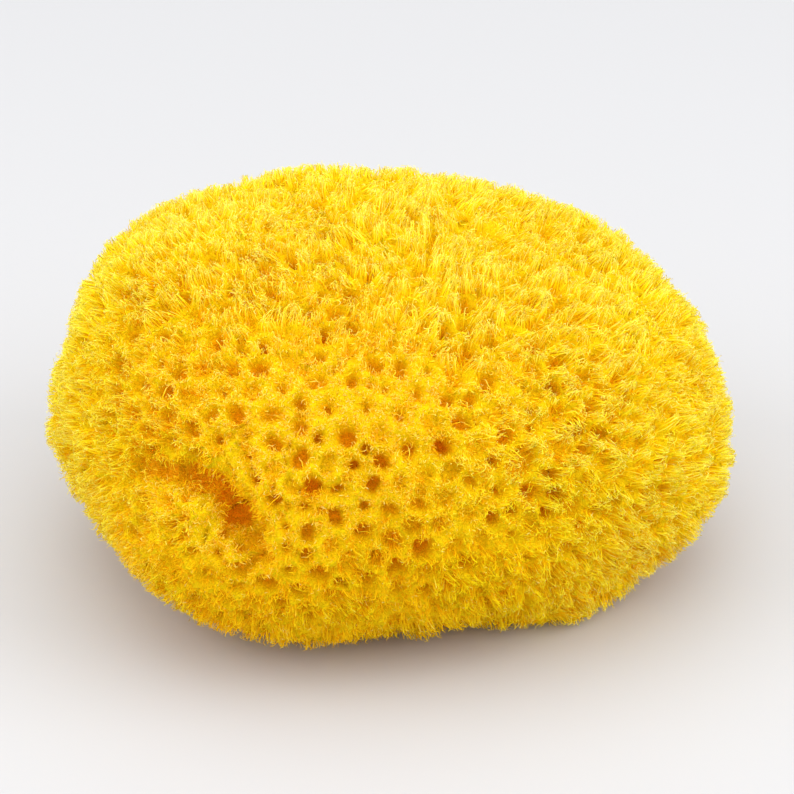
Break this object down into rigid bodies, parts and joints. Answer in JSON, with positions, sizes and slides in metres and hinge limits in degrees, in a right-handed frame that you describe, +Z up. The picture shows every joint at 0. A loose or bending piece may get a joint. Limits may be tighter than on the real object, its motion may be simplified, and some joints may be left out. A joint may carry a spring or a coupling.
{
  "type": "sea sponge",
  "caption": "Natural bath sponge: one rounded, fuzzy body with pores all over, a fold round a small knob, and a flat cut base to rest on.",
  "frame": {"origin": "middle of the underside of the sponge's box, on the flat cut it rests on", "axes": "+X along the sponge's length, to the right seen from the front, +Y to its back, +Z up from the cut"},
  "size_m": [0.1312, 0.1178, 0.0713],
  "materials": {
    "sponge": "matte bright yellow natural fibre, deep orange down in the pores and pale at the fibre tips"
  },
  "bodies": {
    "root": {"sponge": "sponge"}
  },
  "joints": []
}
